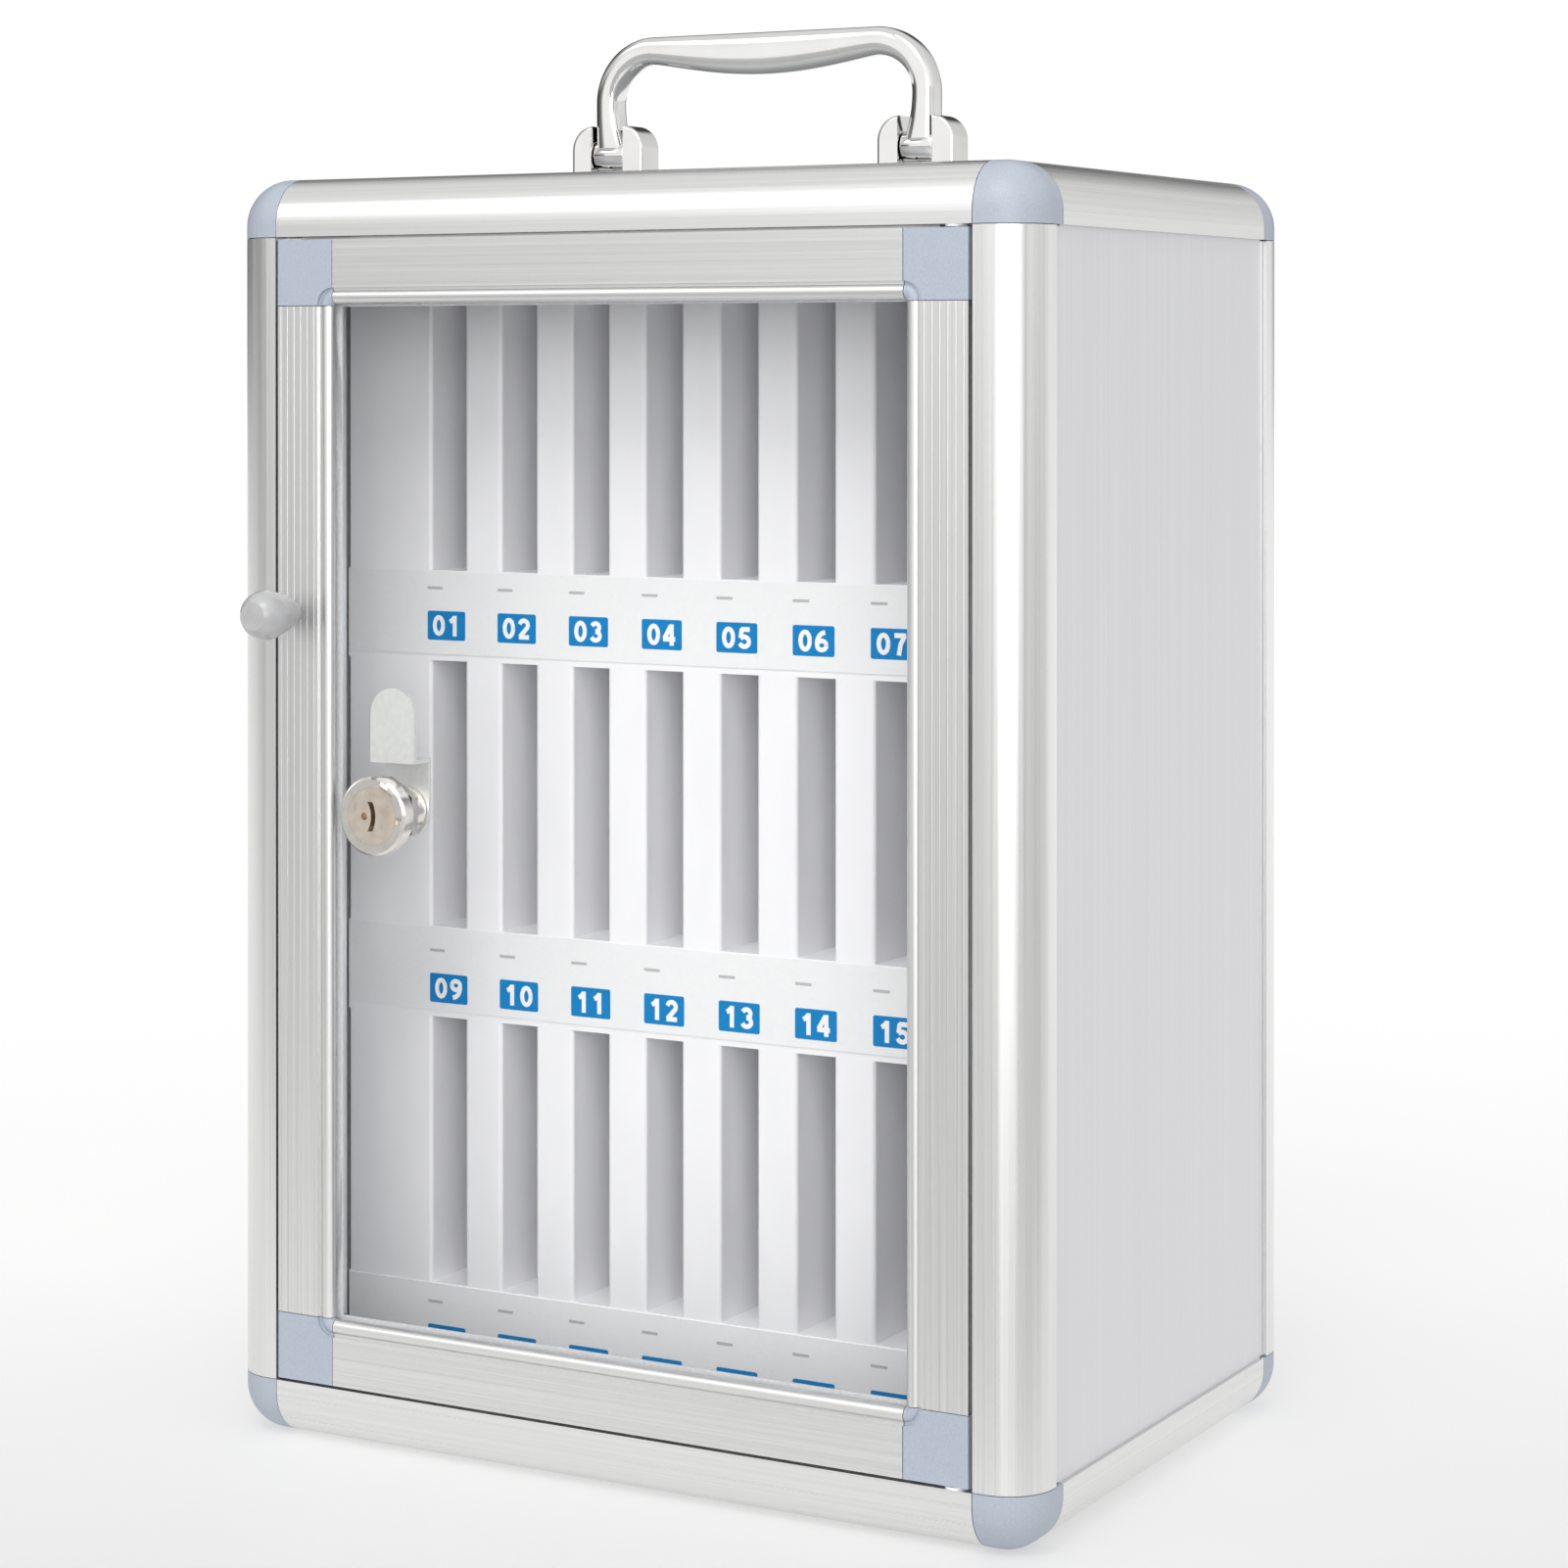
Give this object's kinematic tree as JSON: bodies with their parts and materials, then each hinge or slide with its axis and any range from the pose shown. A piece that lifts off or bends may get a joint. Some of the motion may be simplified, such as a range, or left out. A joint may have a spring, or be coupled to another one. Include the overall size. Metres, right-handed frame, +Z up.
{
  "type": "phone locker box",
  "caption": "Portable aluminium-framed cabinet with a folding carrying handle, a glazed door that swings and locks, and tiered racks of narrow upright slots for phones.",
  "frame": {"origin": "middle of the case's underside, on the surface it stands on", "axes": "+X to the right as one faces the door, +Y from the door to the back, +Z up"},
  "size_m": [0.34, 0.2616, 0.5382],
  "materials": {
    "frame_aluminium": "satin silver anodised extrusion",
    "door_aluminium": "fluted satin anodised extrusion",
    "grey_plastic": "satin grey moulding",
    "panel_sheet": "aluminium-faced composite sheet with fine upright brushing",
    "white_plastic": "white moulding",
    "label_card": "white printed strip with numbered blue squares",
    "chrome": "polished plating on a zinc casting",
    "steel": "plain zinc plated",
    "lock_nickel": "satin nickel plating",
    "clear_pane": "clear and polished",
    "gasket_rubber": "light grey strip",
    "clear_plastic": "clear smoky moulding"
  },
  "bodies": {
    "case": {"post_front_left": "frame_aluminium", "post_front_right": "frame_aluminium", "post_rear_left": "frame_aluminium", "post_rear_right": "frame_aluminium", "rail_front_top": "frame_aluminium", "rail_front_bottom": "frame_aluminium", "rail_rear_top": "frame_aluminium", "rail_rear_bottom": "frame_aluminium", "rail_left_top": "frame_aluminium", "rail_left_bottom": "frame_aluminium", "rail_right_top": "frame_aluminium", "rail_right_bottom": "frame_aluminium", "cap_front_left_top": "grey_plastic", "cap_front_left_bottom": "grey_plastic", "cap_front_right_top": "grey_plastic", "cap_front_right_bottom": "grey_plastic", "cap_rear_left_top": "grey_plastic", "cap_rear_left_bottom": "grey_plastic", "cap_rear_right_top": "grey_plastic", "cap_rear_right_bottom": "grey_plastic", "panel_left": "panel_sheet", "panel_right": "panel_sheet", "panel_back": "panel_sheet", "panel_top": "panel_sheet", "panel_bottom": "panel_sheet", "rack_plinth": "white_plastic", "rack_tier_1": "white_plastic", "rack_tier_2": "white_plastic", "rack_tier_3": "white_plastic", "label_strip_1": "label_card", "label_strip_2": "label_card", "label_strip_3": "label_card", "handle_bracket_left": "chrome", "handle_bracket_right": "chrome", "handle_pins": "steel", "bracket_screws": "steel", "pivot_bushes": "white_plastic"},
    "door": {"door_stile_left": "door_aluminium", "door_stile_right": "door_aluminium", "door_rail_top": "door_aluminium", "door_rail_bottom": "door_aluminium", "door_corner_left_top": "grey_plastic", "door_corner_left_bottom": "grey_plastic", "door_corner_right_top": "grey_plastic", "door_corner_right_bottom": "grey_plastic", "door_pane": "clear_pane", "door_gasket": "gasket_rubber", "door_knob": "clear_plastic", "knob_screw": "steel", "pivot_pins": "steel", "lock_housing": "lock_nickel", "lock_nut": "lock_nickel"},
    "lock_core": {"lock_plug": "lock_nickel", "lock_cam": "steel", "cam_screw": "steel"},
    "handle": {"handle_bail": "chrome"}
  },
  "joints": [
    {"name": "door_swing", "type": "hinge", "parent": "case", "child": "door", "pos_m": [0.1394, -0.1138, 0.24], "axis": [0, 0, 1], "range_deg": [0, 120]},
    {"name": "lock_turn", "type": "hinge", "parent": "door", "child": "lock_core", "pos_m": [-0.101, -0.118, 0.24], "axis": [0, -1, 0], "range_deg": [0, 90]},
    {"name": "handle_fold", "type": "hinge", "parent": "case", "child": "handle", "pos_m": [0, 0, 0.492], "axis": [1, 0, 0], "range_deg": [-90, 90]}
  ]
}
